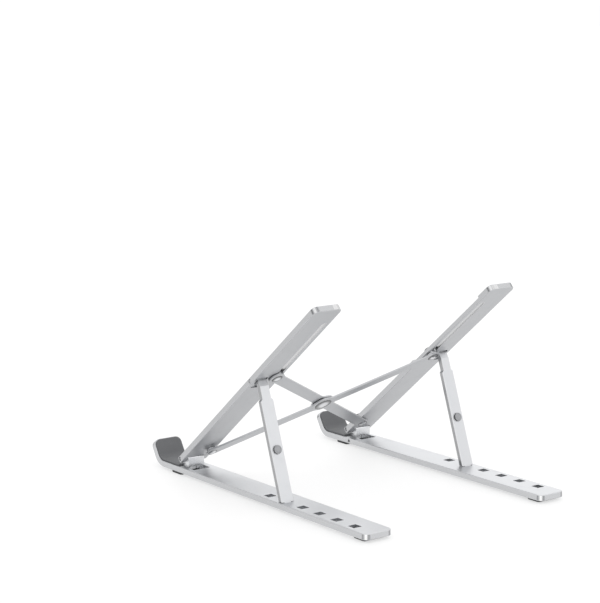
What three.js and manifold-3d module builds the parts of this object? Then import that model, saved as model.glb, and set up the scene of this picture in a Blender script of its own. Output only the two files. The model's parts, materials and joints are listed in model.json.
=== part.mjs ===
// Folding laptop stand: two mirror-image sides, each a bent base rail, a hinged
// arm and a prop strut, joined by a scissor brace that slides in the arms.
// Millimetres. X runs across, Y from the lip to the rear, Z up from the desk.
// The origin is on the desk, in the middle of the stand.

import * as THREE from 'three';
import { mergeVertices } from 'three/addons/utils/BufferGeometryUtils.js';
import Module from 'manifold-3d';

const wasm = await Module();
wasm.setup();

// ---- driving dimensions --------------------------------------------------

const standWidth = 196.2;
const standLength = 285;
const barWidth = 25.5;
const sideEdgeBreak = 0.5;
const seatGap = 0.3;
const closedGap = 0.8;          // between the two sides when the brace is closed

const railThickness = 4.8;
const railRearCorner = 4.5;
const railBendRadius = 8.2;     // inside of the bend
const lipAngle = 58;
const lipLength = 13.4;
const lipCorner = 5.5;

const footThickness = 2;
const frontFootLength = 14.2;
const frontFootWidth = 23.5;
const frontFootFromFront = 29.5;
const rearFootLength = 13;
const rearFootWidth = 20;
const rearFootFromRear = 5;
const footCorner = 2;
const footEdge = 0.4;

const lipPadThickness = 1.5;
const lipPadMargin = 0.6;
const lipPadEdge = 0.4;

const laneOffset = 5.25;        // struts, holes and pads lie outward of the middle
const holeSide = 7.3;
const holePitch = 20.84;
const holeCount = 6;
const lastHoleFromRear = 21.8;
const strutHole = 1;            // counted from the front, starting at 0

const hingeFromFront = 44.6;
const underArmSpace = 4.6;      // between arm and rail when folded flat
const hingePinRadius = 1.4;
const pinClearance = 0.3;
const hingePinInset = 0.6;
const lugWidth = 15;
const earRadius = 3;            // of the lug's ears, about the hinge pin
const lugReach = 6;             // from the hinge pin to the back of the lug's bridge
const lugRise = 1;              // top of the bridge above the hinge pin
const bridgeLift = 1.1;         // underside of the bridge above the rail
const lugWall = 1.6;
const lugOffset = 1;
const lugWindowRear = 8.2;      // free length of the rail's window behind the lug
const lockPinRadius = 1;
const lockPinInset = 1.5;
const lockPinBehind = 3.6;      // the hinge pin

const armThickness = 5;
const armFrontOverhang = 3.7;
const armShortOfRear = 7.8;     // the arm ends this far ahead of the rail when flat
const armRearCorner = 4.5;
const armFrontCorner = 1.8;

const padLength = 62;
const padWidth = 10;
const padProud = 1.3;
const padRecess = 0.6;
const padEdge = 0.6;
const frontPadAlong = 28.8;
const rearPadFromRear = 14.8;   // from the arm's rear end

const strutPinAhead = 28;       // of the rear pad
const strutPinRadius = 1.3;
const strutPinInset = 0.2;
const strutPinBearing = 2.4;    // length of the pin held in the inner wall
const strutLength = 94.5;       // from the pin to the rail, along the strut
const strutThickness = 4;
const strutWidth = 11.4;
const neckWidth = 8;
const neckLength = 15.5;
const neckSlope = 1.7;
const knuckleRadius = 2.6;
const shoulderDrop = 5.7;
const shoulderSet = 1.6;
const strutUnderGap = 0.5;      // between the folded strut and the arm
const strutEdge = 0.4;
const slotSideClearance = 0.5;
const slotAhead = 7;
const strutSlotCorner = 1;
const pegWidth = 6.3;
const pegDepth = 2;
const pegAhead = 0.9;           // how far the peg reaches ahead of the hole's middle
const buttonRadius = 3.5;
const buttonHeight = 1.3;
const buttonCrown = 0.5;
const buttonStem = 1.7;
const buttonStemDepth = 2;
const buttonBelowPin = 55;

const bracePivotInset = 5.2;    // from the inner edge of the arm
const braceFrontAlong = 16.8;
const slideFromRear = 21.4;     // closed slide pivot from the arm's rear end
const linkWidth = 10;
const linkThickness = 1.5;
const linkEdge = 0.25;
const hubEyeRadius = 9.75;
const slideEyeRadius = 6.6;
const eyeFillet = 6;
const seatDepth = 0.8;          // of the rivets' sunk ends in the links
const headDome = 0.8;
const domeSteps = 3;

const frontShank = 1.8;
const frontSinkRadius = 3.6;
const frontHeadRadius = 5.2;
const frontHeadHeight = 1.2;

const slideShank = 1.9;
const slideSinkRadius = 4.2;
const slideHeadRadius = 4.3;
const slideHeadHeight = 1.2;
const slideHeadDimple = 0.5;
const spacerWall = 1.5;

const hubShank = 2.5;
const hubSinkRadius = 7;
const hubTopRadius = 4.3;

const channelWidth = 10;
const channelCorner = 4;
const topChannelDepth = 1.8;
const topChannelLead = 18;      // run of the channel ahead of the slide rivet
const headSideClearance = 0.4;

const cutBeyond = 1;            // how far a cutter reaches past the face it cuts
const bendOverlap = 2;          // how far the pieces of a bent strip run into each other
const fineSteps = 8;            // facets in a quarter of a large or plainly seen round
const arcSteps = 4;             // in a quarter of any other
const cornerSteps = 2;
const rodSides = 20;
const turnedSides = 22;

// ---- worked out from them --------------------------------------------------

const radians = THREE.MathUtils.degToRad;
const lipTurn = radians(lipAngle);

const railBottom = footThickness;
const railTop = railBottom + railThickness;
const railMiddle = (standWidth - barWidth) / 2;
const rearEnd = standLength / 2;
const frontEnd = -rearEnd;
const bendOuter = railBendRadius + railThickness;
const lipReach = bendOuter * Math.sin(lipTurn) + (lipLength - sideEdgeBreak) * Math.cos(lipTurn);
const bendStart = frontEnd + lipReach;
const frontFootFront = frontEnd + frontFootFromFront;
const rearFootFront = rearEnd - rearFootFromRear - rearFootLength;

const hingeY = frontEnd + hingeFromFront;
const hingeZ = railTop + underArmSpace + armThickness / 2;
const armBottom = -armThickness / 2;
const armTop = armThickness / 2;
const armLength = rearEnd - armShortOfRear - hingeY;
const rearPadAlong = armLength - rearPadFromRear - padLength;
const strutPinAlong = rearPadAlong - strutPinAhead;
const windowFront = hingeY - earRadius - seatGap;
const windowRear = hingeY + lugReach + lugWindowRear;

// The strut's foot stands in its hole, and that sets how far the arm leans back.
const strutOffset = armThickness / 2 + strutUnderGap + strutThickness / 2;
const footY = holeY(strutHole);
const hingeToFoot = new THREE.Vector2(footY - hingeY, railTop - hingeZ);
const pinToFoot = Math.hypot(strutLength, strutOffset);
const hingeAngle = Math.acos(
  (strutPinAlong ** 2 + hingeToFoot.lengthSq() - pinToFoot ** 2)
  / (2 * strutPinAlong * hingeToFoot.length()));
const armTilt = hingeAngle + Math.atan2(hingeToFoot.y, hingeToFoot.x);
const pinY = hingeY + strutPinAlong * Math.cos(armTilt);
const pinZ = hingeZ + strutPinAlong * Math.sin(armTilt);
const strutLean = Math.atan2(footY - pinY, pinZ - railTop) - Math.atan2(strutOffset, strutLength);
const slotBehind = Math.hypot(strutOffset + strutThickness / 2, knuckleRadius) + slotSideClearance;
const slotWidth = neckWidth + 2 * slotSideClearance;

// The links are as long as lets the arms close side by side with the slide pivots
// at the rear of their slots; opened to the stand's width, they draw them forward.
const pivotX = standWidth / 2 - barWidth + bracePivotInset;
const pivotSide = bracePivotInset - barWidth / 2;
const slideClosed = armLength - slideFromRear;
const linkLength = Math.hypot(slideClosed - braceFrontAlong, 2 * bracePivotInset + closedGap);
const openRun = Math.sqrt(linkLength ** 2 - (2 * pivotX) ** 2);
const slideOpen = braceFrontAlong + openRun;
const hubOpen = braceFrontAlong + openRun / 2;
const linkTurn = Math.atan2(openRun, 2 * pivotX);
const linkPitch = linkThickness + seatGap;
const upperLinkTop = armBottom - seatGap;
const lowerLinkTop = upperLinkTop - linkPitch;
const underSeat = [-2 * linkThickness, seatDepth - linkThickness];
const topSeat = [-seatDepth, linkThickness];

const aluminium = { color: 0xd6d7d9, roughness: 0.38, metalness: 0.9 };
const steel = { color: 0xc9cacc, roughness: 0.28, metalness: 1 };
const silicone = { color: 0x6d6e72, roughness: 0.8, metalness: 0 };
const footRubber = { color: 0x3c3d40, roughness: 0.9, metalness: 0 };
const buttonRubber = { color: 0x97989b, roughness: 0.7, metalness: 0 };

function holeY(index) {
  return rearEnd - lastHoleFromRear - (holeCount - 1 - index) * holePitch;
}

// ---- solids ----------------------------------------------------------------

function solidOf(geometry) {
  const bare = geometry.clone();
  bare.deleteAttribute('normal');
  bare.deleteAttribute('uv');
  const welded = mergeVertices(bare);
  return new wasm.Manifold(new wasm.Mesh({
    numProp: 3,
    vertProperties: welded.attributes.position.array,
    triVerts: Uint32Array.from(welded.index.array),
  }));
}

function geometryOf(solid) {
  const mesh = solid.getMesh();
  const geometry = new THREE.BufferGeometry();
  geometry.setAttribute('position', new THREE.BufferAttribute(mesh.vertProperties, 3));
  geometry.setIndex(new THREE.BufferAttribute(mesh.triVerts, 1));
  return geometry;
}

function combine(pieces, cutters = [], kept = []) {
  let solid = solidOf(pieces[0]);
  for (const piece of pieces.slice(1)) {
    solid = solid.add(solidOf(piece));
  }
  for (const cutter of cutters) {
    solid = solid.subtract(solidOf(cutter));
  }
  for (const keep of kept) {
    solid = solid.intersect(solidOf(keep));
  }
  return geometryOf(solid);
}

function mirrorAcross(geometry) {
  const mirrored = geometry.clone().scale(-1, 1, 1);
  const index = mirrored.index.array;
  for (let i = 0; i < index.length; i += 3) {
    const swapped = index[i];
    index[i] = index[i + 1];
    index[i + 1] = swapped;
  }
  return mirrored;
}

function block(x, y, z) {
  const geometry = new THREE.BoxGeometry(x[1] - x[0], y[1] - y[0], z[1] - z[0]);
  return geometry.translate((x[0] + x[1]) / 2, (y[0] + y[1]) / 2, (z[0] + z[1]) / 2);
}

// A flat piece of the given outline, lying on z = 0, with all its edges broken.
function plate(outline, thickness, edge, steps = arcSteps, edgeSteps = 1) {
  const geometry = new THREE.ExtrudeGeometry(outline, {
    depth: thickness - 2 * edge,
    bevelThickness: edge,
    bevelSize: edge,
    bevelOffset: -edge,
    bevelSegments: edgeSteps,
    curveSegments: steps,
  });
  return geometry.translate(0, 0, edge);
}

function prism(outline, depth, steps = arcSteps) {
  return new THREE.ExtrudeGeometry(outline, { depth, bevelEnabled: false, curveSegments: steps });
}

// Turns an outline drawn in the Y-Z plane, extruded by width, to lie across X.
function acrossX(geometry, width) {
  const axes = new THREE.Matrix4().makeBasis(
    new THREE.Vector3(0, 1, 0), new THREE.Vector3(0, 0, 1), new THREE.Vector3(1, 0, 0));
  return geometry.applyMatrix4(axes).translate(-width / 2, 0, 0);
}

function rodX(radius, from, to) {
  const geometry = new THREE.CylinderGeometry(radius, radius, to - from, rodSides);
  return geometry.rotateZ(Math.PI / 2).translate((from + to) / 2, 0, 0);
}

function rodZ(radius, [low, top]) {
  const geometry = new THREE.CylinderGeometry(radius, radius, top - low, rodSides);
  return geometry.rotateX(Math.PI / 2).translate(0, 0, (low + top) / 2);
}

function turned(profile) {
  const points = profile.map(([radius, height]) => new THREE.Vector2(radius, height));
  return new THREE.LatheGeometry(points, turnedSides);
}

function alike(radius) {
  return [radius, radius, radius, radius];
}

// corners: radii at low-left, low-right, top-right and top-left
function rectangle(x, y, corners = alike(0)) {
  const [lowLeft, lowRight, topRight, topLeft] = corners;
  const quarter = Math.PI / 2;
  const outline = new THREE.Shape();
  outline.moveTo(x[0] + lowLeft, y[0]);
  outline.lineTo(x[1] - lowRight, y[0]);
  if (lowRight) outline.absarc(x[1] - lowRight, y[0] + lowRight, lowRight, -quarter, 0);
  outline.lineTo(x[1], y[1] - topRight);
  if (topRight) outline.absarc(x[1] - topRight, y[1] - topRight, topRight, 0, quarter);
  outline.lineTo(x[0] + topLeft, y[1]);
  if (topLeft) outline.absarc(x[0] + topLeft, y[1] - topLeft, topLeft, quarter, 2 * quarter);
  outline.lineTo(x[0], y[0] + lowLeft);
  if (lowLeft) outline.absarc(x[0] + lowLeft, y[0] + lowLeft, lowLeft, 2 * quarter, 3 * quarter);
  return outline;
}

function centred(width) {
  return [-width / 2, width / 2];
}

// ---- base ------------------------------------------------------------------

// A strip that follows the rail: flat from its rear end, bent up, then straight
// along the lip. lift is its height above the rail's underside.
function bentStrip({ width, lift, thickness, edge, rear, rearCorner, lip, topCorner }) {
  const outer = bendOuter - lift;
  const inner = outer - thickness;
  const overlap = bendOverlap;
  const low = railBottom + lift;
  const centre = [bendStart, railBottom + bendOuter];
  const down = -Math.PI / 2;

  const flat = plate(
    rectangle(centred(width), [bendStart + overlap / 2, rear], [0, 0, rearCorner, rearCorner]),
    thickness, edge).translate(0, 0, low);

  const profile = new THREE.Shape();
  const along = [-Math.cos(lipTurn) * overlap, Math.sin(lipTurn) * overlap];
  const outerEnd = [centre[0] - outer * Math.sin(lipTurn), centre[1] - outer * Math.cos(lipTurn)];
  const innerEnd = [centre[0] - inner * Math.sin(lipTurn), centre[1] - inner * Math.cos(lipTurn)];
  profile.moveTo(bendStart + 2 * overlap, low + thickness);
  profile.lineTo(bendStart, low + thickness);
  profile.absarc(centre[0], centre[1], inner, down, down - lipTurn, true);
  profile.lineTo(innerEnd[0] + along[0], innerEnd[1] + along[1]);
  profile.lineTo(outerEnd[0] + along[0], outerEnd[1] + along[1]);
  profile.lineTo(outerEnd[0], outerEnd[1]);
  profile.absarc(centre[0], centre[1], outer, down - lipTurn, down, false);
  profile.lineTo(bendStart + 2 * overlap, low);
  const bend = acrossX(plate(profile, width, edge, fineSteps), width);

  const panel = plate(
    rectangle(centred(width), [-lip, -overlap / 2], [topCorner, topCorner, 0, 0]), thickness, edge);
  panel.translate(0, 0, -outer).rotateX(-lipTurn).translate(0, centre[0], centre[1]);
  return [flat, bend, panel];
}

function makeRail() {
  const pieces = bentStrip({
    width: barWidth,
    lift: 0,
    thickness: railThickness,
    edge: sideEdgeBreak,
    rear: rearEnd,
    rearCorner: railRearCorner,
    lip: lipLength,
    topCorner: lipCorner,
  });
  const through = [railBottom - cutBeyond, railTop + cutBeyond];
  const cutters = [];
  for (let hole = 0; hole < holeCount; hole += 1) {
    const middle = holeY(hole);
    cutters.push(block(
      [laneOffset - holeSide / 2, laneOffset + holeSide / 2],
      [middle - holeSide / 2, middle + holeSide / 2], through));
  }
  const windowHalf = lugWidth / 2 + seatGap;
  cutters.push(block([lugOffset - windowHalf, lugOffset + windowHalf], [windowFront, windowRear], through));
  cutters.push(lockPinAt(rodX(lockPinRadius + pinClearance, -barWidth, lugOffset)));
  return combine(pieces, cutters);
}

function makeLipPad() {
  return combine(bentStrip({
    width: barWidth - 2 * lipPadMargin,
    lift: railThickness + seatGap,
    thickness: lipPadThickness,
    edge: lipPadEdge,
    rear: windowFront - lipPadMargin,
    rearCorner: lipPadMargin,
    lip: lipLength - lipPadMargin,
    topCorner: lipCorner - lipPadMargin,
  }));
}

function makeFoot(width, length, front) {
  const outline = rectangle(centred(width), [front, front + length], alike(footCorner));
  return combine([plate(outline, footThickness, footEdge, cornerSteps)]);
}

function lockPinAt(geometry) {
  return geometry.translate(0, hingeY + lockPinBehind, railBottom + railThickness / 2);
}

// A bracket of two ears that carry the hinge pin, joined behind it by a bridge.
// The ears are let into the rail's window and locked there by a cross pin.
function makeLug() {
  const foot = railBottom + seatGap - hingeZ;
  const shoulder = Math.asin(lugRise / earRadius);
  const profile = new THREE.Shape();
  profile.moveTo(-earRadius, foot);
  profile.lineTo(lugReach, foot);
  profile.lineTo(lugReach, lugRise);
  profile.lineTo(earRadius * Math.cos(shoulder), lugRise);
  profile.absarc(0, 0, earRadius, shoulder, Math.PI);
  profile.lineTo(-earRadius, foot);
  const body = acrossX(prism(profile, lugWidth, fineSteps), lugWidth);
  const between = centred(lugWidth - 2 * lugWall);
  const hollow = block(between, [-hingeZ, lugReach - lugWall], [-hingeZ, hingeZ]);
  const underBridge = block(between, [0, hingeZ], [-hingeZ, railTop + bridgeLift - hingeZ]);
  const pinHole = rodX(hingePinRadius + pinClearance, -lugWidth, lugWidth);
  const frame = combine([body], [hollow, underBridge, pinHole]).translate(lugOffset, hingeY, hingeZ);
  return combine([frame], [lockPinAt(rodX(lockPinRadius + pinClearance, -barWidth, lugOffset))]);
}

function makeLockPin() {
  const inner = -barWidth / 2 + lockPinInset;
  return combine([lockPinAt(rodX(lockPinRadius, inner, lugOffset - lugWidth / 2 + lugWall + lockPinInset))]);
}

function makeHingePin() {
  const [inner, outer] = centred(barWidth - 2 * hingePinInset);
  return combine([rodX(hingePinRadius, inner, outer).translate(0, hingeY, hingeZ)]);
}

// ---- arm -------------------------------------------------------------------

// The channel is open at the arm's inner edge and rounded at its blind corners.
function channel(front, rear, z) {
  const corners = [0, channelCorner, channelCorner, 0];
  const outline = rectangle([-barWidth, channelWidth - barWidth / 2], [front, rear], corners);
  return prism(outline, z[1] - z[0]).translate(0, 0, z[0]);
}

function slot(radius, front, rear) {
  const outline = new THREE.Shape();
  outline.moveTo(radius, front);
  outline.lineTo(radius, rear);
  outline.absarc(0, rear, radius, 0, Math.PI);
  outline.lineTo(-radius, front);
  outline.absarc(0, front, radius, Math.PI, 2 * Math.PI);
  return outline;
}

function padOutline(along, growth) {
  const radius = padWidth / 2 + growth;
  return slot(radius, along + padWidth / 2, along + padLength - padWidth / 2);
}

function makeArm() {
  const beyond = armThickness;
  const plan = rectangle(
    centred(barWidth), [-armFrontOverhang, armLength],
    [armFrontCorner, armFrontCorner, armRearCorner, armRearCorner]);
  const bar = plate(plan, armThickness, sideEdgeBreak).translate(0, 0, armBottom);
  const nose = acrossX(prism(
    rectangle([-armFrontOverhang, armLength], [armBottom, armTop], [armFrontCorner, 0, 0, armFrontCorner]),
    barWidth), barWidth);

  const notchHalf = lugWidth / 2 + seatGap;
  const notch = block(
    [lugOffset - notchHalf, lugOffset + notchHalf],
    [-armFrontOverhang - beyond, Math.hypot(lugReach, lugRise) + seatGap], [-beyond, beyond]);
  const hingeHole = rodX(hingePinRadius + pinClearance, -barWidth, barWidth);

  const headReach = slideHeadRadius + headSideClearance;
  const channelRear = slideClosed + headReach;
  const topChannel = channel(slideOpen - topChannelLead, channelRear, [armTop - topChannelDepth, beyond]);
  const slideSlot = prism(slot(slideShank + pinClearance, slideOpen, slideClosed), 2 * beyond, fineSteps);
  slideSlot.translate(pivotSide, 0, -beyond);
  const frontHole = rodZ(frontShank + pinClearance, [-beyond, beyond]);
  frontHole.translate(pivotSide, braceFrontAlong, 0);

  const strutSlot = prism(rectangle(
    [laneOffset - slotWidth / 2, laneOffset + slotWidth / 2],
    [strutPinAlong - slotAhead, strutPinAlong + slotBehind],
    alike(strutSlotCorner)), 2 * beyond, cornerSteps);
  strutSlot.translate(0, 0, -beyond);
  const strutPinHole = rodX(
    strutPinRadius + pinClearance,
    laneOffset - slotWidth / 2 - strutPinBearing - pinClearance, barWidth).translate(0, strutPinAlong, 0);

  const recesses = [frontPadAlong, rearPadAlong].map((along) => (
    prism(padOutline(along, seatGap), beyond, fineSteps).translate(laneOffset, 0, armTop - padRecess)));
  return combine(
    [bar],
    [notch, hingeHole, topChannel, slideSlot, frontHole, strutSlot, strutPinHole, ...recesses],
    [nose]);
}

function makePad(along) {
  const thickness = padProud + padRecess - seatGap;
  const pad = plate(padOutline(along, 0), thickness, padEdge, fineSteps, cornerSteps);
  return combine([pad.translate(laneOffset, 0, armTop - padRecess + seatGap)]);
}

function makeStrutPin() {
  const inner = laneOffset - slotWidth / 2 - strutPinBearing;
  return combine([rodX(strutPinRadius, inner, barWidth / 2 - strutPinInset).translate(0, strutPinAlong, 0)]);
}

// ---- strut -----------------------------------------------------------------

// Turns a piece drawn upright, about the middle of the foot on the rail's top,
// into the strut's own leaning frame.
function atFoot(geometry) {
  return geometry.rotateX(-strutLean).translate(0, strutOffset, -strutLength);
}

// Drawn about its pin, with Z up along the strut and Y square to it. The neck
// hooks forward to the pin, and the foot stands on the rail with a peg in its hole.
function makeStrut() {
  const front = strutOffset - strutThickness / 2;
  const rear = strutOffset + strutThickness / 2;
  const neck = neckWidth / 2;
  const wide = strutWidth / 2;
  const end = -strutLength - strutThickness;
  const beyond = barWidth;

  const side = new THREE.Shape();
  side.moveTo(front, end);
  side.lineTo(rear, end);
  side.lineTo(rear, -shoulderDrop);
  side.lineTo(rear - shoulderSet, 0);
  side.absarc(rear - shoulderSet - knuckleRadius, 0, knuckleRadius, 0, Math.PI / 2);
  side.lineTo(0, knuckleRadius);
  side.absarc(0, 0, knuckleRadius, Math.PI / 2, 3 * Math.PI / 2);
  side.lineTo(front, -knuckleRadius);
  const blade = acrossX(plate(side, strutWidth, strutEdge, fineSteps), strutWidth);

  const face = new THREE.Shape();
  face.moveTo(-neck, beyond);
  face.lineTo(-neck, -neckLength);
  face.lineTo(-wide, -neckLength - neckSlope);
  face.lineTo(-wide, end);
  face.lineTo(wide, end);
  face.lineTo(wide, -neckLength - neckSlope);
  face.lineTo(neck, -neckLength);
  face.lineTo(neck, beyond);
  const outline = prism(face, 2 * beyond).rotateX(Math.PI / 2).translate(0, beyond, 0);

  const cutters = [
    atFoot(block([-beyond, beyond], [-beyond, beyond], [-beyond, -pegDepth])),
    atFoot(block([-beyond, beyond], [-beyond, -pegAhead], [-beyond, seatGap])),
    atFoot(block([-beyond, -pegWidth / 2], [-beyond, beyond], [-beyond, seatGap])),
    atFoot(block([pegWidth / 2, beyond], [-beyond, beyond], [-beyond, seatGap])),
    rodX(strutPinRadius + pinClearance, -beyond, beyond),
    buttonAt(rodZ(buttonStem + seatGap, [-buttonStemDepth, buttonStemDepth]).rotateX(-Math.PI / 2)),
  ];
  return combine([blade], cutters, [outline]);
}

// Moves a piece turned about Y to the button's seat on the strut's rear face.
function buttonAt(geometry) {
  return geometry.translate(0, strutOffset + strutThickness / 2, -buttonBelowPin);
}

function makeButton() {
  const crown = buttonHeight + buttonCrown / 2;
  return combine([buttonAt(turned([
    [0, seatGap - buttonStemDepth],
    [buttonStem, seatGap - buttonStemDepth],
    [buttonStem, seatGap],
    [buttonRadius, seatGap],
    [buttonRadius, buttonHeight - buttonCrown],
    [buttonRadius - buttonCrown, buttonHeight],
    [buttonRadius / 2, crown],
    [0, crown],
  ]))]);
}

// ---- brace -----------------------------------------------------------------

// A round eye of the given radius, swelling out of a bar of half the given width.
function eye(radius, half) {
  const reach = Math.sqrt((radius + eyeFillet) ** 2 - (half + eyeFillet) ** 2);
  return { radius, reach, angle: Math.atan2(half + eyeFillet, reach) };
}

// A flat bar drawn along X with its top on z = 0: a round end with the front
// rivet's hole, an eye in the middle for the hub and an eye for the slide rivet.
function makeLink(hubSink, hubSeat) {
  const half = linkWidth / 2;
  const end = linkLength / 2;
  const hub = eye(hubEyeRadius, half);
  const slide = eye(slideEyeRadius, half);
  const quarter = Math.PI / 2;
  const outline = new THREE.Shape();
  outline.moveTo(-end, -half);
  outline.lineTo(-hub.reach, -half);
  outline.absarc(-hub.reach, -half - eyeFillet, eyeFillet, quarter, hub.angle, true);
  outline.absarc(0, 0, hub.radius, Math.PI + hub.angle, 2 * Math.PI - hub.angle);
  outline.absarc(hub.reach, -half - eyeFillet, eyeFillet, Math.PI - hub.angle, quarter, true);
  outline.lineTo(end - slide.reach, -half);
  outline.absarc(end - slide.reach, -half - eyeFillet, eyeFillet, quarter, slide.angle, true);
  outline.absarc(end, 0, slide.radius, slide.angle - Math.PI, Math.PI - slide.angle);
  outline.absarc(end - slide.reach, half + eyeFillet, eyeFillet, -slide.angle, -quarter, true);
  outline.lineTo(hub.reach, half);
  outline.absarc(hub.reach, half + eyeFillet, eyeFillet, -quarter, hub.angle - Math.PI, true);
  outline.absarc(0, 0, hub.radius, hub.angle, Math.PI - hub.angle);
  outline.absarc(-hub.reach, half + eyeFillet, eyeFillet, -hub.angle, -quarter, true);
  outline.lineTo(-end, half);
  outline.absarc(-end, 0, half, quarter, 3 * quarter);
  const bar = plate(outline, linkThickness, linkEdge).translate(0, 0, -linkThickness);
  return combine([bar], [
    ...rivetHole(frontShank, frontSinkRadius, underSeat, -end),
    ...rivetHole(hubShank, hubSink, hubSeat, 0),
    ...rivetHole(slideShank, slideSinkRadius, underSeat, end),
  ]);
}

// A hole through the link, widened from one face into a flat seat.
function rivetHole(shank, sink, seat, x) {
  const hole = rodZ(shank + pinClearance, [-2 * linkThickness, linkThickness]);
  return [hole.translate(x, 0, 0), rodZ(sink + seatGap, seat).translate(x, 0, 0)];
}

// The closed end of a rivet, sunk in the underside of the link it holds and domed.
function sunkEnd(linkTop, shank, sink) {
  const under = linkTop - linkThickness;
  const shoulder = under + seatDepth - seatGap;
  const profile = [];
  for (let step = 0; step <= domeSteps; step += 1) {
    const share = step / domeSteps;
    profile.push([sink * share, under - headDome * (1 - share ** 2)]);
  }
  profile.push([sink, shoulder], [shank, shoulder]);
  return profile;
}

function rivet(profile) {
  return combine([turned(profile).rotateX(Math.PI / 2)]);
}

function makeFrontRivet(linkTop) {
  const head = armTop + seatGap;
  const top = head + frontHeadHeight;
  return rivet([
    ...sunkEnd(linkTop, frontShank, frontSinkRadius),
    [frontShank, head],
    [frontHeadRadius - sideEdgeBreak, head],
    [frontHeadRadius, head + sideEdgeBreak],
    [frontHeadRadius, top - sideEdgeBreak],
    [frontHeadRadius - sideEdgeBreak, top],
    [0, top],
  ]);
}

function makeSlideRivet(linkTop) {
  const head = armTop - topChannelDepth + seatGap;
  const top = head + slideHeadHeight;
  const ring = slideHeadRadius - 2 * slideHeadDimple;
  return rivet([
    ...sunkEnd(linkTop, slideShank, slideSinkRadius),
    [slideShank, head],
    [slideHeadRadius, head],
    [slideHeadRadius, top - slideHeadDimple],
    [slideHeadRadius - slideHeadDimple, top],
    [ring, top],
    [ring - slideHeadDimple, top - slideHeadDimple],
    [0, top - slideHeadDimple],
  ]);
}

function makeHubRivet() {
  const shoulder = upperLinkTop - seatDepth + seatGap;
  return rivet([
    ...sunkEnd(lowerLinkTop, hubShank, hubSinkRadius),
    [hubShank, shoulder],
    [hubTopRadius, shoulder],
    [hubTopRadius, upperLinkTop],
    [0, upperLinkTop],
  ]);
}

// A ring that fills the space of the other link beside the arm.
function makeSpacer(shank) {
  const inner = shank + pinClearance;
  const low = upperLinkTop - linkThickness;
  return rivet([
    [inner, low],
    [inner + spacerWall, low],
    [inner + spacerWall, upperLinkTop],
    [inner, upperLinkTop],
    [inner, low],
  ]);
}

// ---- assembly --------------------------------------------------------------

const stand = new THREE.Group();

function place(parent, name, geometry, finish, position = [0, 0, 0], turn = 0) {
  const mesh = new THREE.Mesh(geometry, new THREE.MeshStandardMaterial(finish));
  mesh.name = name;
  mesh.position.set(...position);
  mesh.rotation.z = turn;
  parent.add(mesh);
}

function framed(parent, position, tilt) {
  const frame = new THREE.Group();
  frame.position.set(...position);
  frame.rotation.x = tilt;
  parent.add(frame);
  return frame;
}

const basePieces = [
  ['rail', makeRail(), aluminium],
  ['lip_pad', makeLipPad(), silicone],
  ['front_foot', makeFoot(frontFootWidth, frontFootLength, frontFootFront), footRubber],
  ['rear_foot', makeFoot(rearFootWidth, rearFootLength, rearFootFront), footRubber],
  ['hinge_lug', makeLug(), aluminium],
  ['lug_lock_pin', makeLockPin(), steel],
  ['arm_hinge_pin', makeHingePin(), steel],
];
const armPieces = [
  ['arm', makeArm(), aluminium],
  ['arm_pad_front', makePad(frontPadAlong), silicone],
  ['arm_pad_rear', makePad(rearPadAlong), silicone],
  ['strut_pin', makeStrutPin(), steel],
];
const strutPieces = [
  ['strut', makeStrut(), aluminium],
  ['strut_button', makeButton(), buttonRubber],
];

for (const [side, sign] of [['right', 1], ['left', -1]]) {
  const middle = sign * railMiddle;
  const handed = (geometry) => (sign > 0 ? geometry : mirrorAcross(geometry));
  const base = framed(stand, [middle, 0, 0], 0);
  const arm = framed(stand, [middle, hingeY, hingeZ], armTilt);
  const strut = framed(stand, [middle + sign * laneOffset, pinY, pinZ], strutLean);
  for (const [group, pieces] of [[base, basePieces], [arm, armPieces], [strut, strutPieces]]) {
    for (const [name, geometry, finish] of pieces) {
      place(group, `${name}_${side}`, handed(geometry), finish);
    }
  }
}

const brace = framed(stand, [0, hingeY, hingeZ], armTilt);
const upperLink = makeLink(hubTopRadius, topSeat);
const lowerLink = makeLink(hubSinkRadius, underSeat);
place(brace, 'brace_link_upper', upperLink, aluminium, [0, hubOpen, upperLinkTop], linkTurn);
place(brace, 'brace_link_lower', lowerLink, aluminium, [0, hubOpen, lowerLinkTop], Math.PI - linkTurn);
place(brace, 'brace_hub_rivet', makeHubRivet(), steel, [0, hubOpen, 0]);
place(brace, 'brace_front_rivet_right', makeFrontRivet(lowerLinkTop), steel, [pivotX, braceFrontAlong, 0]);
place(brace, 'brace_front_rivet_left', makeFrontRivet(upperLinkTop), steel, [-pivotX, braceFrontAlong, 0]);
place(brace, 'brace_slide_rivet_right', makeSlideRivet(upperLinkTop), steel, [pivotX, slideOpen, 0]);
place(brace, 'brace_slide_rivet_left', makeSlideRivet(lowerLinkTop), steel, [-pivotX, slideOpen, 0]);
place(brace, 'brace_front_spacer', makeSpacer(frontShank), steel, [pivotX, braceFrontAlong, 0]);
place(brace, 'brace_slide_spacer', makeSpacer(slideShank), steel, [-pivotX, slideOpen, 0]);

export default stand;
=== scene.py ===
# %% [markdown]
# # A folding laptop stand
#
# The stand has two mirror-image sides. Each side is a bent aluminium rail, an arm hinged
# to it and a strut that props the arm. A scissor brace joins the sides. The metal pieces
# come from the engineering model as they are and get their finishes here. The silicone
# pads, the rubber feet and the stop buttons are soft, so they are modelled again with
# rounded, moulded edges.

import json
import math

import bmesh
import bpy
from mathutils import Matrix, Vector


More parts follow.
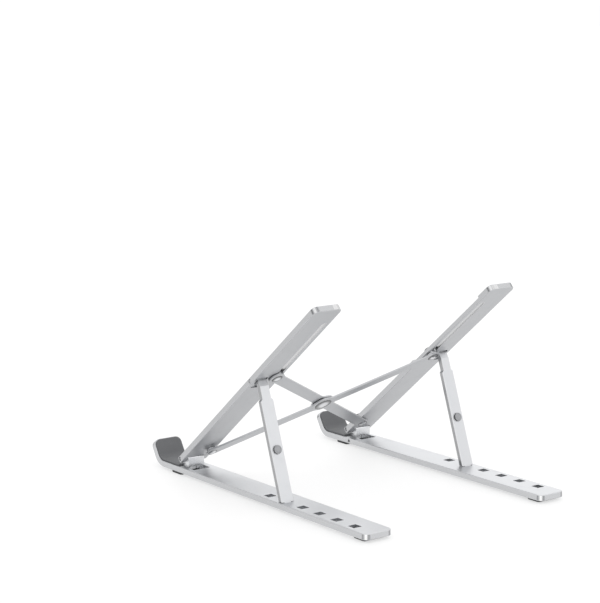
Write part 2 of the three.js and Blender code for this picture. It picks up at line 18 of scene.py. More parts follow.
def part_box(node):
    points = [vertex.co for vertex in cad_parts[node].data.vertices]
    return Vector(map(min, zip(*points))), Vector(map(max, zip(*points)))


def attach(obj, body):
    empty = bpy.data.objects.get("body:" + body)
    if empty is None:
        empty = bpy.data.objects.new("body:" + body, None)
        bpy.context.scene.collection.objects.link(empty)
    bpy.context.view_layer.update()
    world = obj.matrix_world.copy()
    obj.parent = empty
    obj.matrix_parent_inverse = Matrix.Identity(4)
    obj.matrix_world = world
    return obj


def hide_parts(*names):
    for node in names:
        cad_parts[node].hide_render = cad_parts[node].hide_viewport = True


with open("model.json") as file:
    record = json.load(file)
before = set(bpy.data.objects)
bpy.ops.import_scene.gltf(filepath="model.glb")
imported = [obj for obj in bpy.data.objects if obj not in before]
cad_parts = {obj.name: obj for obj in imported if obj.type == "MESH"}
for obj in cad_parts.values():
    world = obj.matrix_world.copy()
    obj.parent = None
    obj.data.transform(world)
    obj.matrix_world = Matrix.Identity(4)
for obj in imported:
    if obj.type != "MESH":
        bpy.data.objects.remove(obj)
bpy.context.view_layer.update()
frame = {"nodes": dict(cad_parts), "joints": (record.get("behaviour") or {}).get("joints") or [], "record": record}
joints = {joint["name"]: joint for joint in frame["joints"]}
mounts = {mount["name"]: mount for mount in frame["record"]["mounts"]}
SIDES = ("right", "left")

# %% [markdown]
# ## Camera
#
# A long lens keeps the rails almost parallel. The camera stands behind the stand, to its
# right and a little above it. A tracking constraint would be shorter, but it keeps the
# camera level, and this one is rolled a little, so its three axes are worked out one by one.

# %% Camera
CAMERA_PLACE = Vector((0.8776, 1.1173, 0.3770))
CAMERA_AZIMUTH = math.radians(143.32)
CAMERA_ELEVATION = math.radians(9.24)
CAMERA_ROLL = math.radians(-0.20)
CAMERA_LENS = 109.04
CAMERA_SHIFT = -0.0067


def aim(azimuth, elevation, roll):
    """The rotation of a camera that looks from an azimuth and elevation, with a roll."""
    back = Vector((
        math.sin(azimuth) * math.cos(elevation),
        -math.cos(azimuth) * math.cos(elevation),
        math.sin(elevation),
    ))
    level = Vector((math.cos(azimuth), math.sin(azimuth), 0))
    upright = back.cross(level)
    right = level * math.cos(roll) + upright * math.sin(roll)
    return Matrix((right, back.cross(right), back)).transposed()


camera_data = bpy.data.cameras.new("camera")
camera_data.lens = CAMERA_LENS
camera_data.shift_x = CAMERA_SHIFT
camera = bpy.data.objects.new("camera", camera_data)
camera.matrix_world = (
    Matrix.Translation(CAMERA_PLACE)
    @ aim(CAMERA_AZIMUTH, CAMERA_ELEVATION, CAMERA_ROLL).to_4x4()
)
bpy.context.scene.collection.objects.link(camera)
bpy.context.scene.camera = camera
print("camera:", CAMERA_LENS, "mm lens,", round(CAMERA_PLACE.length, 2), "m from the origin")

# %% [markdown]
# ## Shader maths as plain expressions
#
# A finish is a small sum: grain plus blotches, times a strength, and so on. Wiring Math
# nodes by hand hides that sum. A `Wire` stands for one socket, and its operators add the
# nodes, so a finish reads like the formula it is.

# %% Wires


class Wire:
    """One output of a node. Sums and products with it add Math nodes."""

    def __init__(self, tree, socket):
        self.tree = tree
        self.socket = socket

    def maths(self, operation, *values):
        return self.tree.add("ShaderNodeMath", {"operation": operation}, dict(enumerate(values)))

    def __add__(self, other):
        return self.maths("ADD", self, other)

    def __sub__(self, other):
        return self.maths("SUBTRACT", self, other)

    def __rsub__(self, other):
        return self.maths("SUBTRACT", other, self)

    def __mul__(self, other):
        return self.maths("MULTIPLY", self, other)

    def sine(self):
        return self.maths("SINE", self)

    def size(self):
        return self.maths("ABSOLUTE", self)

    __radd__ = __add__
    __rmul__ = __mul__


# %% [markdown]
# A material and the sky are both trees of nodes. One method, `add`, makes any node in a
# tree from its type, its settings and what its sockets get. The methods after it are short
# names for the steps that come up again and again.

# %% Trees


class Tree:
    """The nodes of a material or of the sky."""

    def __init__(self, node_tree):
        self.nodes = node_tree.nodes
        self.links = node_tree.links

    def add(self, kind, settings, inputs, output=0):
        """Adds a node: first its settings, then its sockets. Gives one of its outputs."""
        node = self.nodes.new(kind)
        for name, value in settings.items():
            setattr(node, name, value)
        for name, value in inputs.items():
            self.join(value, node.inputs[name])
        return Wire(self, node.outputs[output])

    def join(self, value, socket):
        """Links a wire to a socket, or sets the socket to a constant."""
        if isinstance(value, Wire):
            self.links.new(value.socket, socket)
        else:
            socket.default_value = value

    def vector(self, operation, *values, output="Vector"):
        """Vector Math. Its other output, "Value", holds a dot product or a length."""
        inputs = dict(enumerate(values))
        return self.add("ShaderNodeVectorMath", {"operation": operation}, inputs, output)

    def dot(self, first, second):
        return self.vector("DOT_PRODUCT", first, second, output="Value")

    def along_and_across(self, vector, axis):
        """The part of a vector that lies along a unit axis, and the part across it."""
        reach = self.dot(vector, axis)
        along = self.add("ShaderNodeVectorMath", {"operation": "SCALE"}, {0: axis, "Scale": reach})
        return along, self.vector("SUBTRACT", vector, along)


# %% [markdown]
# A finish is a tree with a shader at its end. A Mix node has a set of sockets for numbers
# and another for colours under the same names, so its colour sockets go by their places.

# %% Finishes
MIX_SHARE, MIX_FIRST, MIX_SECOND, MIX_RESULT = 0, 6, 7, 2


class Finish(Tree):
    """A material being made, with its shader."""

    def __init__(self, name, **constants):
        self.material = bpy.data.materials.new(name)
        self.material.use_nodes = True
        super().__init__(self.material.node_tree)
        self.shader = self.nodes["Principled BSDF"]
        self.drive(**constants)

    def drive(self, **values):
        """Gives wires or constants to sockets of the shader."""
        for socket, value in values.items():
            self.join(value, self.shader.inputs[socket.replace("_", " ")])

    def place(self):
        """Where a point is on the object, in metres."""
        return self.add("ShaderNodeTexCoord", {}, {}, "Object")

    def noise(self, grain, detail=2.0, at=None, roughness=0.5):
        """Noise from 0 to 1 whose lumps are about one grain, in metres, across."""
        inputs = {"Scale": 1 / grain, "Detail": detail, "Roughness": roughness}
        return self.add("ShaderNodeTexNoise", {}, {"Vector": at or self.place(), **inputs})

    def ramp(self, value, low, high):
        """0 where value is below low, 1 above high, smooth between."""
        limits = {"Value": value, "From Min": low, "From Max": high}
        return self.add("ShaderNodeMapRange", {"interpolation_type": "SMOOTHSTEP"}, limits)

    def mix(self, share, first, second):
        """A colour between two colours."""
        inputs = {MIX_SHARE: share, MIX_FIRST: first, MIX_SECOND: second}
        return self.add("ShaderNodeMix", {"data_type": "RGBA"}, inputs, MIX_RESULT)

    def bump(self, height, depth, strength):
        """Raises the surface by height, from 0 to 1, times a depth in metres."""
        inputs = {"Height": height, "Distance": depth, "Strength": strength}
        self.drive(Normal=self.add("ShaderNodeBump", {}, inputs))


def grey(level, tint=0.0):
    """A near-neutral colour; a positive tint is cooler, with less red and more blue."""
    return (level * (1 - tint), level * (1 - tint / 3), level * (1 + tint), 1)


def shade(level, tone):
    """The colour of a tone, which is a share of a finish's level and a tint."""
    share, tint = tone
    return grey(level * share, tint)


# %% [markdown]
# ## Anodised aluminium
#
# Bars like these are usually blasted and then clear anodised. Up close that is a fine, even
# frost; from further off it is a soft satin with faint cloudy patches. Three masks tell the
# finish where it is. A bevel lookup finds the broken edges, which are drawn a little worn and
# lighter, partly wear and partly a painted highlight: where the rounded normal leaves the
# true one, there is an edge. A bar's sides are taken to be milled, so they are smoother than
# its faces; the struts' sides are also darker, which is painted shade.
#
# The third mask is a stand-in. In a studio with softboxes and flags, a round corner mirrors
# a bright band between two dull ones, and the walls of a slot catch a bright line. The
# even studio at the end of this lesson has nothing for them to mirror, so the finish lays
# the bands down as colour, as painted reflections. They are fixed to the metal: unlike true
# reflections they stay where they are when the stand or the viewer moves. Each kind of bar
# also gets a grey level of its own, though one alloy would have one level, so the
# differences between the bars are painted light and shade.

# %% Directions
ACROSS = Vector((1, 0, 0))
UP = Vector((0, 0, 1))
STRUT_LEAN = math.radians(19.288)
STRUT_OUT = Vector((0, math.cos(STRUT_LEAN), math.sin(STRUT_LEAN)))
ARM_NORMAL = -Vector(joints["brace_fold"]["axis"])


def node_centre(name):
    low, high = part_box(name)
    return (low + high) / 2


print("struts lean", round(math.degrees(STRUT_LEAN), 1), "degrees from upright")

# %% Masks
# A fade is a pair of values: where a mask starts and where it is full.
BEVEL_SAMPLES = 4
EDGE_FADE = (0.01, 0.16)
WALL_FADE = (0.05, 0.15)
MIDDLE_FADE = (0.62, 0.82)
BESIDE_FADE = (0.01, 0.06)


def edge_mask(finish, radius):
    """1 on edges and 0 on flats, from how far a rounded normal turns from the true one."""
    rounded = finish.add("ShaderNodeBevel", {"samples": BEVEL_SAMPLES}, {"Radius": radius})
    true = finish.add("ShaderNodeNewGeometry", {}, {}, "True Normal")
    return finish.ramp(1 - finish.dot(rounded, true), *EDGE_FADE)


def facing(finish, direction):
    """How squarely the surface faces a direction or its opposite, from 0 to 1."""
    normal = finish.add("ShaderNodeTexCoord", {}, {}, "Normal")
    return finish.dot(normal, direction).size()


def corner_masks(finish, face):
    """The middle of a round corner of a bar's outline, and the stretches beside it."""
    across = facing(finish, ACROSS)
    along = facing(finish, face.cross(ACROSS))
    # The sine of twice the corner's angle, squared: 0 on the flats, 1 halfway round.
    turn = across * across * along * along * 4
    wall = 1 - finish.ramp(facing(finish, face), *WALL_FADE)
    middle = finish.ramp(turn, *MIDDLE_FADE)
    beside = finish.ramp(turn, *BESIDE_FADE) - middle
    return middle * wall, beside * wall


def near_planes(finish, distance, near, far):
    """A mask round two planes a distance to left and right: 1 within near, 0 past far."""
    across = finish.dot(finish.place(), ACROSS)
    return 1 - finish.ramp((across.size() - distance).size(), near, far)


# %% [markdown]
# The finish lays tones over each other, each where its mask is. A tone is given as a share
# of the metal's own level and a tint. The bright band and the slots' walls have levels of
# their own, because they stand in for lights and not for metal. Here and in the finishes
# after it, grains, depths and edges are in metres.

# %% Anodised finish
MILLED_FADE = (0.30, 0.50)
FROST_GRAIN, FROST_DEPTH, FROST_STRENGTH = 0.00035, 0.00004, 0.35
CLOUD_GRAIN, CLOUD_CONTRAST = 0.030, 0.7
HANDLED_GRAIN, HANDLED_FADE = 0.011, (0.52, 0.78)
CLEAN_TINT = 0.016
CLOUDY_TONE, WORN_HIGHLIGHT_TONE, DULL_TONE = (0.965, 0.024), (1.2, 0.010), (0.45, 0.03)
WORN_HIGHLIGHT_SHARE, DULL_SHARE, SLOT_SHARE = 0.7, 0.85, 0.6
GLINT_LEVEL, SLOT_LEVEL = 0.95, 0.75
FROST_ROUGHNESS, HANDLED_ROUGHNESS = 0.10, 0.045
WORN_POLISH, MILLED_POLISH = 0.10, 0.20
SLOT_PLACE = sum(corner.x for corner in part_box("brace_slide_rivet_right")) / 2
SLOT_NEAR = 0.0026
SLOT_FAR = SLOT_NEAR * 1.2


def anodised(name, face, level, roughness, glint, side=1.0, edge_radius=0.0007, slots=False):
    """Satin metal whose wide faces look along face; side is a painted shade, the share of its level on its milled
    sides.
    """
    finish = Finish(name, Metallic=1.0)
    milled_and_shaded = 1 - finish.ramp(facing(finish, face), *MILLED_FADE)
    bright, dull = corner_masks(finish, face)
    frost = finish.noise(FROST_GRAIN, detail=3)
    cloud = finish.noise(CLOUD_GRAIN)
    handled = finish.ramp(finish.noise(HANDLED_GRAIN, detail=3), *HANDLED_FADE)
    wear_and_highlight = edge_mask(finish, edge_radius)
    patches = (cloud - 0.5) * CLOUD_CONTRAST + 0.5
    tone = finish.mix(patches, shade(level, CLOUDY_TONE), grey(level, CLEAN_TINT))
    # Painted shade: the milled sides take side's share of the level, darker on the struts.
    tone = finish.mix(milled_and_shaded, tone, grey(level * side, CLEAN_TINT))
    # Edges drawn lighter: partly wear, partly a painted highlight.
    tone = finish.mix(wear_and_highlight * WORN_HIGHLIGHT_SHARE, tone, shade(level, WORN_HIGHLIGHT_TONE))
    # Painted reflections: a dull band beside each round corner and a bright band in its middle.
    tone = finish.mix(dull * DULL_SHARE, tone, shade(level, DULL_TONE))
    tone = finish.mix(bright * glint, tone, grey(GLINT_LEVEL))
    if slots:
        slot_wall = milled_and_shaded * near_planes(finish, SLOT_PLACE, SLOT_NEAR, SLOT_FAR)
        tone = finish.mix(slot_wall * SLOT_SHARE, tone, grey(SLOT_LEVEL))
    finish.drive(
        Base_Color=tone,
        Roughness=roughness + (frost - 0.5) * FROST_ROUGHNESS + handled * HANDLED_ROUGHNESS
        - wear_and_highlight * WORN_POLISH - milled_and_shaded * MILLED_POLISH,
    )
    finish.bump(frost, FROST_DEPTH, FROST_STRENGTH)
    return finish.material


# Levels that differ from bar to bar are painted light and shade, and so is the strut's darker side.
ANODISED = {
    "rail": anodised("anodised_rail", UP, level=0.59, roughness=0.40, glint=0.9),
    "arm": anodised("anodised_arm", ARM_NORMAL, level=0.52, roughness=0.40, glint=0.35, slots=True),
    "strut": anodised(
        "anodised_strut", STRUT_OUT, level=0.64, roughness=0.40, glint=0.35, side=0.61),
    "hinge": anodised(
        "anodised_lug", UP, level=0.74, roughness=0.45, glint=0.2, edge_radius=0.0005),
}
print("anodised finishes:", ", ".join(ANODISED))

# %% [markdown]
# ## Rolled link strip
#
# The two brace links are taken to be stamped from rolled strip, with faint rolling lines
# along their length. One noise, stretched hard along the link, draws the lines: what a
# place has along the link is scaled down, and what it has across the link is kept.

# %% Rolled strip
LINE_GRAIN, LINE_DEPTH, LINE_STRENGTH = 0.00030, 0.00003, 0.3
LINE_SQUEEZE = (0.03, 0.03, 0.03)
STRIP_LEVEL, STRIP_ROUGHNESS = 0.50, 0.34
STRIP_CLOUD_GRAIN, STRIP_EDGE = 0.02, 0.0004
STRIP_DARK, STRIP_PALE, STRIP_WORN_HIGHLIGHT = (0.93, 0.028), (1, 0.020), (1.08, 0)
LINE_SHARE, STRIP_CLOUD_SHARE, STRIP_WORN_HIGHLIGHT_SHARE = 0.5, 0.5, 0.5
LINE_ROUGHNESS, STRIP_CLOUD_ROUGHNESS, STRIP_WORN_POLISH = 0.14, 0.06, 0.06


def rolled(name, along):
    """A strip whose rolling lines run along a direction in the frame."""
    finish = Finish(name, Metallic=1.0)
    forward, across = finish.along_and_across(finish.place(), along)
    squeezed = finish.vector("MULTIPLY_ADD", forward, LINE_SQUEEZE, across)
    lines = finish.noise(LINE_GRAIN, detail=3, at=squeezed)
    cloud = finish.noise(STRIP_CLOUD_GRAIN)
    wear_and_highlight = edge_mask(finish, STRIP_EDGE)
    dark, pale = shade(STRIP_LEVEL, STRIP_DARK), shade(STRIP_LEVEL, STRIP_PALE)
    tone = finish.mix(lines * LINE_SHARE + cloud * STRIP_CLOUD_SHARE, dark, pale)
    finish.drive(
        # Edges drawn lighter: partly wear, partly a painted highlight.
        Base_Color=finish.mix(wear_and_highlight * STRIP_WORN_HIGHLIGHT_SHARE, tone, shade(STRIP_LEVEL, STRIP_WORN_HIGHLIGHT)),
        Roughness=STRIP_ROUGHNESS + (lines - 0.5) * LINE_ROUGHNESS
        + (cloud - 0.5) * STRIP_CLOUD_ROUGHNESS - wear_and_highlight * STRIP_WORN_POLISH,
    )
    finish.bump(lines, LINE_DEPTH, LINE_STRENGTH)
    return finish.material


HUB = node_centre("brace_hub_rivet")
LINK_ENDS = {
    "brace_link_upper": "brace_slide_rivet_right",
    "brace_link_lower": "brace_slide_rivet_left",
}
LINK_FINISH = {
    link: rolled(link + "_strip", (node_centre(end) - HUB).normalized())
    for link, end in LINK_ENDS.items()
}
print("strip finishes:", ", ".join(LINK_FINISH))

# %% [markdown]
# ## Turned rivets and pins
#
# Rivets, pins and spacers are taken to be turned, so their light runs in rings about their
# axis. The distance from the axis drives a sine, and a touch of noise keeps the rings from
# looking ruled. The rim of a polished dome mirrors what is dark round it. This studio has
# nothing dark, so a dark rim in the finish stands in for that. Each piece needs its own
# centre, so one function makes the finish from a centre, an axis and a head's radius.

# %% Turned steel
RING_PITCH, RING_DEPTH, RING_STRENGTH = 0.00035, 0.00002, 0.35
WOBBLE_GRAIN, WOBBLE = 0.0009, 2.2
GRIME_GRAIN, GRIME_FADE = 0.0016, (0.55, 0.8)
SHINY_TONE, GRIMY_TONE, RIM_TONE = (1, 0.015), (0.86, 0.025), (0.15, 0.01)
RING_SHARE, GRIME_SHARE, RIM_SHARE = 0.35, 0.4, 0.9
RING_ROUGHNESS, GRIME_ROUGHNESS = 0.06, 0.10
RIM_START, RIM_FULL = 0.35, 0.90


def turned(name, centre, axis, level, roughness, head):
    """Steel with rings about an axis; a head's radius gives it a dark rim."""
    finish = Finish(name, Metallic=1.0)
    from_centre = finish.vector("SUBTRACT", finish.place(), centre)
    _, flat = finish.along_and_across(from_centre, axis)
    radius = finish.vector("LENGTH", flat, output="Value")
    wobble = finish.noise(WOBBLE_GRAIN)
    rings = (radius * (2 * math.pi / RING_PITCH) + wobble * WOBBLE).sine() * 0.5 + 0.5
    grime = finish.ramp(finish.noise(GRIME_GRAIN, detail=3), *GRIME_FADE)
    shiny, grimy = shade(level, SHINY_TONE), shade(level, GRIMY_TONE)
    tone = finish.mix(rings * RING_SHARE + grime * GRIME_SHARE, shiny, grimy)
    if head:
        rim = finish.ramp(radius, head * RIM_START, head * RIM_FULL)
        tone = finish.mix(rim * RIM_SHARE, tone, shade(level, RIM_TONE))
    finish.drive(
        Base_Color=tone,
        Roughness=roughness + rings * RING_ROUGHNESS + grime * GRIME_ROUGHNESS,
    )
    finish.bump(rings, RING_DEPTH, RING_STRENGTH)
    return finish.material


# The word in a piece's name, then the axis it was turned about, its level and roughness.
STEEL = {
    "rivet": (ARM_NORMAL, 0.74, 0.15),
    "spacer": (ARM_NORMAL, 0.60, 0.20),
    "pin": (ACROSS, 0.50, 0.24),
}
TURNED = {}
for node in frame["nodes"]:
    for word, (axis, level, roughness) in STEEL.items():
        if word in node.split("_"):
            low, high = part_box(node)
            head = (high.x - low.x) / 2 if word == "rivet" else None
            TURNED[node] = turned(node + "_steel", node_centre(node), axis, level, roughness, head)
print("turned finishes:", len(TURNED))

# %% [markdown]
# ## Silicone and rubber
#
# Moulded silicone is matte with a skin like fine orange peel. It picks up pale dust and
# rubs smoother where things slide on it; its edges are drawn lighter, partly as rubbing and
# partly as a painted sheen. The feet are a harder, darker rubber. The stop buttons are rubber
# too, with a pale crown; all that faces elsewhere is darkened, a painted shade, so that
# finish is given the direction that the crown faces.

# %% Silicone and rubber
PEEL_DEPTH, PEEL_STRENGTH, PEEL_ROUGHNESS = 0.00006, 0.5, 0.16
UNEVEN_GRAIN, UNEVEN_DARK, UNEVEN_PALE = 0.009, 0.93, 1.07
DUST_GRAIN, DUST_FADE, DUST_LEVEL, DUST_LIFT = 0.0011, (0.66, 0.74), 1.9, 0.05
RUBBED_EDGE, RUBBED_SHEEN_SHARE, RUBBED_SHEEN_LEVEL, RUBBED_POLISH = 0.0006, 0.25, 1.5, 0.08
CROWN_FADE, CROWN_SURROUND_SHADE = (0.5, 0.8), 0.16


def moulded(name, level, tint, roughness, dust, peel=0.0004, crown=None):
    """A matte soft finish. With a crown's direction, all that faces elsewhere is darkened as painted shade."""
    finish = Finish(name, IOR=1.42, Specular_IOR_Level=0.35, Sheen_Weight=0.12, Sheen_Roughness=0.4)
    dimples = finish.noise(peel, detail=4, roughness=0.6)
    uneven = finish.noise(UNEVEN_GRAIN, detail=3)
    specks = finish.ramp(finish.noise(DUST_GRAIN), *DUST_FADE)
    rubbed_and_sheen = edge_mask(finish, RUBBED_EDGE)
    tone = finish.mix(uneven, grey(level * UNEVEN_DARK, tint), grey(level * UNEVEN_PALE, tint))
    tone = finish.mix(specks * dust, tone, grey(level * DUST_LEVEL + DUST_LIFT, tint))
    # Painted shade: all but the crown is darkened, for the gap and shadow round the button.
    if crown:
        crowned = finish.ramp(facing(finish, crown), *CROWN_FADE)
        tone = finish.mix(crowned, grey(level * CROWN_SURROUND_SHADE, tint), tone)
    # Lighter edges: partly rubbing, partly a painted sheen.
    finish.drive(
        Base_Color=finish.mix(rubbed_and_sheen * RUBBED_SHEEN_SHARE, tone, grey(level * RUBBED_SHEEN_LEVEL, tint)),
        Roughness=roughness + (dimples - 0.5) * PEEL_ROUGHNESS - rubbed_and_sheen * RUBBED_POLISH,
    )
    finish.bump(dimples, PEEL_DEPTH, PEEL_STRENGTH)
    return finish.material


SILICONE = moulded("grey_silicone", level=0.138, tint=0.03, roughness=0.68, dust=0.25)
FOOT_RUBBER = moulded("foot_rubber", level=0.045, tint=0.03, roughness=0.74, dust=0.20, peel=0.0006)
BUTTON_RUBBER = moulded(
    "button_rubber", level=0.35, tint=0.025, roughness=0.62, dust=0.15, crown=STRUT_OUT)
print("soft finishes: silicone, foot rubber and button rubber")

# %% [markdown]
# ## Giving the metal its finishes
#
# The engineering pieces keep their shapes, so only their material slots change. A piece's
# name says which finish it gets. The soft pieces are passed over: they come next.

# %% Finishes on the metal
SOFT_WORDS = {"pad", "foot", "button"}
METAL_NODES = [node for node in frame["nodes"] if not SOFT_WORDS & set(node.split("_"))]

for node in METAL_NODES:
    metal = TURNED.get(node) or LINK_FINISH.get(node) or ANODISED[node.split("_")[0]]
    slots = frame["nodes"][node].data.materials
    slots.clear()
    slots.append(metal)
print("metal pieces:", len(METAL_NODES), "soft pieces:", len(frame["nodes"]) - len(METAL_NODES))

# %% [markdown]
# ## Soft pieces
#
# A soft piece is a stack of closed outlines skinned together. Near a free end each outline
# is a little smaller than the last, so the edges that show have a true moulded radius.
# `skin` joins the rings and closes both ends, and each piece only says where its rings go.

# %% Skinning rings


def skin(name, rings, material, body, node):
    """Joins rings of points into a closed piece that stands for a node of the model."""
    mesh = bmesh.new()
    loops = [[mesh.verts.new(point) for point in ring] for ring in rings]
    for lower, upper in zip(loops, loops[1:]):
        for i in range(len(lower)):
            j = (i + 1) % len(lower)
            mesh.faces.new((lower[i], lower[j], upper[j], upper[i]))
    mesh.faces.new(list(reversed(loops[0])))
    mesh.faces.new(loops[-1])
    bmesh.ops.recalc_face_normals(mesh, faces=mesh.faces)
    data = bpy.data.meshes.new(name)
    mesh.to_mesh(data)
    mesh.free()
    data.materials.append(material)
    for face in data.polygons:
        face.use_smooth = len(face.vertices) == 4  # The faces between rings; the ends stay flat.
    piece = bpy.data.objects.new(name, data)
    bpy.context.scene.collection.objects.link(piece)
    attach(piece, body)
    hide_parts(node)


def rounded_outline(half_x, half_y, radius, steps=8):
    """Points round a rectangle with round corners, anticlockwise, about the origin."""
    points = []
    for corner, (sx, sy) in enumerate(((1, -1), (1, 1), (-1, 1), (-1, -1))):
        middle = Vector((sx * (half_x - radius), sy * (half_y - radius)))
        for step in range(steps + 1):
            angle = math.radians(90 * (corner - 1 + step / steps))
            points.append(middle + radius * Vector((math.cos(angle), math.sin(angle))))
    return points


def moulded_levels(height, edge, steps=4):
    """(inset, height) pairs up a moulded wall: straight first, then a quarter round."""
    levels = [(0.0, 0.0)]
    for step in range(steps + 1):
        angle = math.radians(90 * step / steps)
        levels.append((edge * (1 - math.cos(angle)), height - edge * (1 - math.sin(angle))))
    return levels


# %% [markdown]
# ### Arm pads
#
# Each arm has two long pads in shallow recesses. They are round-ended, with an edge radius
# of about a millimetre and a flat top. The record says where each pad's top lies, and the
# arm's normal says which way is up.

# %% Arm pads
PAD_LENGTH = 0.062
PAD_WIDTH = 0.010
PAD_THICKNESS = 0.0016
PAD_EDGE = 0.0009
PAD_END_STEPS = 10
ARM_ALONG = ARM_NORMAL.cross(ACROSS)


def make_arm_pad(end, side):
    top = Vector(mounts[f"laptop_{end}_{side}"]["pos_m"])
    bottom = top - ARM_NORMAL * PAD_THICKNESS
    rings = []
    for inset, height in moulded_levels(PAD_THICKNESS, PAD_EDGE):
        half = PAD_WIDTH / 2 - inset
        rings.append([
            bottom + ACROSS * point.x + ARM_ALONG * point.y + ARM_NORMAL * height
            for point in rounded_outline(half, PAD_LENGTH / 2 - inset, half, PAD_END_STEPS)
        ])
    node = f"arm_pad_{end}_{side}"
    skin("silicone_" + node, rings, SILICONE, f"arm_{side}", node)


for side in SIDES:
    for end in ("front", "rear"):
        make_arm_pad(end, side)
print("arm pads:", round(PAD_LENGTH * 1000), "by", round(PAD_WIDTH * 1000), "mm")

# %% [markdown]
# ### Feet
#
# The feet are low rounded blocks under the rails. The box of each engineering foot gives
# the size and the place, and the moulded radius runs round the edge that meets the desk.

# %% Feet
FOOT_CORNER = 0.002
FOOT_EDGE = 0.0006


def make_foot(end, side):
    node = f"{end}_foot_{side}"
    low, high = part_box(node)
    middle = (low + high) / 2
    half = (high - low) / 2
    rings = []
    for inset, drop in moulded_levels(high.z - low.z, FOOT_EDGE):
        outline = rounded_outline(half.x - inset, half.y - inset, FOOT_CORNER - inset)
        rings.append([Vector((middle.x + p.x, middle.y + p.y, high.z - drop)) for p in outline])
    skin("rubber_" + node, rings, FOOT_RUBBER, f"base_{side}", node)
    print(node, "is", [round(length * 1000, 1) for length in high - low], "mm")


for side in SIDES:
    for end in ("front", "rear"):
        make_foot(end, side)

# %% [markdown]
# ### Lip pads
#
# One sheet of silicone lines the front of each rail, runs round the bend and up the lip.
# It is built as slices along that path. Each slice is a thin rounded bar, and the slices
# narrow near both ends so that the sheet's corners are round.

# %% Lip pads
# The rail's bend: its angle, its inner radius, the pad's seat above it and the straight lip.
LIP_TURN = math.radians(58)
LIP_BEND = 0.0082
LIP_SEAT = 0.0003
LIP_STRAIGHT = 0.0128
# The pad: its thickness, the sheet's corners, how far its ends thin out, a slice's edges.
LIP_PAD = 0.0015
LIP_CORNER = 0.0049
LIP_REAR_CORNER = 0.0012
LIP_THINNING = 0.9
LIP_EDGE = 0.0006
LIP_EDGE_LIMIT = 0.45
LIP_EDGE_STEPS = 5
FLAT_STEPS, BEND_STEPS, LIP_STEPS = 20, 14, 16


def lip_path(front, rear, base):
    """(point, up) pairs along the underside of the lip pad, from its rear end to the top."""
    bend = LIP_BEND - LIP_SEAT
    start = front + bend * math.sin(LIP_TURN) + LIP_STRAIGHT * math.cos(LIP_TURN)
    path = []
    for step in range(FLAT_STEPS):
        share = 0.5 - 0.5 * math.cos(math.pi * step / FLAT_STEPS / 2)
        path.append((Vector((0, rear + (start - rear) * share, base)), Vector((0, 0, 1))))
    for step in range(BEND_STEPS):
        turn = LIP_TURN * step / BEND_STEPS
        up = Vector((0, math.sin(turn), math.cos(turn)))
        path.append((Vector((0, start, base + bend)) - up * bend, up))
    up = Vector((0, math.sin(LIP_TURN), math.cos(LIP_TURN)))
    rise = Vector((0, -math.cos(LIP_TURN), math.sin(LIP_TURN)))
    corner = Vector((0, start, base + bend)) - up * bend
    for step in range(LIP_STEPS + 1):
        share = math.sin(math.pi / 2 * step / LIP_STEPS)
        path.append((corner + rise * LIP_STRAIGHT * share, up))
    return path


def corner_inset(distance, radius):
    """How far a round corner pulls the side in, at a distance from the end."""
    if distance >= radius:
        return 0.0
    return radius - math.sqrt(radius ** 2 - (radius - distance) ** 2)


def make_lip_pad(side):
    node = f"lip_pad_{side}"
    low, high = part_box(node)
    half = (high.x - low.x) / 2
    middle = (high.x + low.x) / 2
    path = lip_path(low.y, high.y, low.z)
    travelled = [0.0]
    for (here, _), (there, _) in zip(path, path[1:]):
        travelled.append(travelled[-1] + (there - here).length)
    rings = []
    for (point, up), distance in zip(path, travelled):
        inset = max(
            corner_inset(distance, LIP_REAR_CORNER),
            corner_inset(travelled[-1] - distance, LIP_CORNER),
        )
        end = min(distance, travelled[-1] - distance)
        thickness = LIP_PAD - corner_inset(end, PAD_EDGE) * LIP_THINNING
        edge = min(LIP_EDGE, thickness * LIP_EDGE_LIMIT)
        outline = rounded_outline(half - inset, thickness / 2, edge, LIP_EDGE_STEPS)
        rings.append([
            Vector((middle + p.x, point.y, point.z)) + up * (p.y + thickness / 2) for p in outline
        ])
    skin("silicone_" + node, rings, SILICONE, f"base_{side}", node)
    print(node, "is", round(travelled[-1] * 1000, 1), "mm along its path")


for side in SIDES:
    make_lip_pad(side)

# %% [markdown]
# ### Strut buttons
#
# A round rubber button sits in each strut, most likely to keep the folded strut off the
# rail. It is one profile turned about its own axis: a rim, a groove and a low crown. The
# profile is a list of (radius, height) pairs, from the stem in the strut to the crown.

# %% Strut buttons
BUTTON_PROFILE = (
    (0.0017, -0.0017), (0.0017, 0.0003), (0.0034, 0.0003), (0.0035, 0.0006), (0.0035, 0.0009),
    (0.00335, 0.00125), (0.0030, 0.00135), (0.0027, 0.00115), (0.0026, 0.00095),
    (0.00245, 0.00105), (0.0020, 0.00135), (0.0013, 0.0015), (0.0005, 0.00155),
)
BUTTON_SIDES = 32
# From the strut's pin to the button: outwards, and down along the strut.
BUTTON_OUT = 0.007
BUTTON_DROP = 0.055


def make_button(side):
    node = f"strut_button_{side}"
    low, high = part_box(node)
    pin = Vector(joints[f"strut_fold_{side}"]["pos_m"])
    upward = Vector((0, -math.sin(STRUT_LEAN), math.cos(STRUT_LEAN)))
    seat = pin + STRUT_OUT * BUTTON_OUT - upward * BUTTON_DROP
    seat.x = (low.x + high.x) / 2
    turns = [2 * math.pi * i / BUTTON_SIDES for i in range(BUTTON_SIDES)]
    spokes = [ACROSS * math.cos(turn) + upward * math.sin(turn) for turn in turns]
    rings = [
        [seat + STRUT_OUT * height + radius * spoke for spoke in spokes]
        for radius, height in BUTTON_PROFILE
    ]
    skin("rubber_" + node, rings, BUTTON_RUBBER, f"strut_{side}", node)


for side in SIDES:
    make_button(side)
print("button:", round(2000 * max(radius for radius, _ in BUTTON_PROFILE), 1), "mm across")

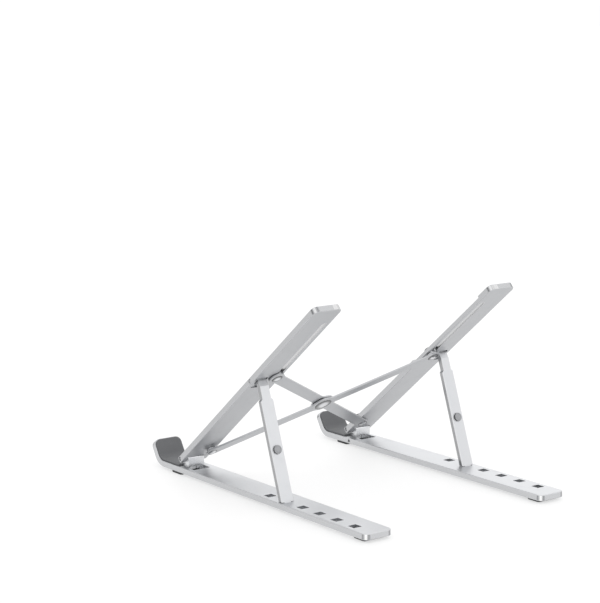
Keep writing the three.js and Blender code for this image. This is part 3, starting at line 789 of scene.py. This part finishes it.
# %% [markdown]
# ## Studio
#
# A satin metal mirrors its surroundings as a soft average, so the studio is what gives the
# stand its tones. The floor glows a little, like a lit table, which keeps the undersides
# bright and the shadows thin. Three soft panels stand round it: one far off in front for
# the tops of the rails, one behind for the struts, and a narrow strip beside the lens for
# the edges. A panel's energy is worked out from its size, so that its number is simply how
# bright it looks next to the sky's.

# %% Floor
FLOOR_SIZE = 40.0
FLOOR_LEVEL, FLOOR_PALE = 0.36, 1.03
FLOOR_GLOW = 0.58
FLOOR_GRAIN = 0.05
WHITE = (1, 1, 1, 1)


def make_floor():
    bpy.ops.mesh.primitive_plane_add(size=FLOOR_SIZE, location=(0, 0, 0))
    floor = bpy.context.object
    floor.name = "floor"
    finish = Finish(
        "pale_floor", Roughness=0.65, Specular_IOR_Level=0.2,
        Emission_Color=WHITE, Emission_Strength=FLOOR_GLOW)
    paper = finish.noise(FLOOR_GRAIN, detail=3)
    tone = finish.mix(paper, grey(FLOOR_LEVEL), grey(FLOOR_LEVEL * FLOOR_PALE))
    finish.drive(Base_Color=tone)
    floor.data.materials.append(finish.material)


make_floor()
print("floor:", FLOOR_SIZE, "m across, glowing at", FLOOR_GLOW)

# %% Panels


def make_panel(name, place, target, size, radiance):
    """A soft light of an even radiance, which lens rays pass through unseen."""
    data = bpy.data.lights.new(name, "AREA")
    data.shape = "RECTANGLE"
    data.size, data.size_y = size
    data.energy = radiance * size[0] * size[1] * math.pi
    panel = bpy.data.objects.new(name, data)
    panel.visible_camera = False
    panel.location = place
    panel.rotation_euler = (Vector(target) - Vector(place)).to_track_quat("-Z", "Y").to_euler()
    bpy.context.scene.collection.objects.link(panel)


make_panel(
    "far_panel", place=(-1.3, -1.7, 0.75), target=(0, 0, 0.05), size=(2.2, 0.9), radiance=0.5)
make_panel(
    "rear_panel", place=(-0.9, 1.6, 0.75), target=(0, 0, 0.08), size=(1.0, 0.9), radiance=0.35)
make_panel(
    "lens_strip", place=(1.15, 1.45, 0.55), target=(0, 0, 0.05), size=(0.30, 0.9), radiance=1.5)
print("panels:", ", ".join(light.name for light in bpy.data.lights))

# %% [markdown]
# The sky is a gradient from white at the horizon to brighter overhead, like a light tent.
# Tops of pieces mirror it and undersides mirror the floor, so a plain satin metal already
# shows which way each face points. One flank of the tent is shaded, which darkens the sides
# that face it and keeps the two sides of a bar apart.

# %% Sky
HORIZON, ZENITH = 1.02, 1.25
RISE_FADE = (0.05, 0.9)
FLANK = (0.59, -0.79, 0.10)
FLANK_SHADE = 0.45
FLANK_FADE = (0.70, 0.95)


def carry(tree, value, source, target):
    """Carries a value from one range to another in proportion, and never past its ends."""
    limits = dict(zip(("From Min", "From Max", "To Min", "To Max"), source + target))
    return tree.add("ShaderNodeMapRange", {}, {"Value": value, **limits})


def make_sky():
    world = bpy.data.worlds.new("studio")
    bpy.context.scene.world = world
    world.use_nodes = True
    sky = Tree(world.node_tree)
    direction = sky.add("ShaderNodeTexCoord", {}, {}, "Generated")
    height = sky.add("ShaderNodeSeparateXYZ", {}, {0: direction}, "Z")
    rise = carry(sky, height, RISE_FADE, (HORIZON, ZENITH))
    flank = carry(sky, sky.dot(direction, FLANK), FLANK_FADE, (1.0, FLANK_SHADE))
    background = sky.nodes["Background"]
    sky.join(WHITE, background.inputs["Color"])
    sky.join(rise * flank, background.inputs["Strength"])


make_sky()
bpy.context.scene.view_settings.view_transform = "Standard"
print("sky:", HORIZON, "at the horizon,", ZENITH, "overhead")
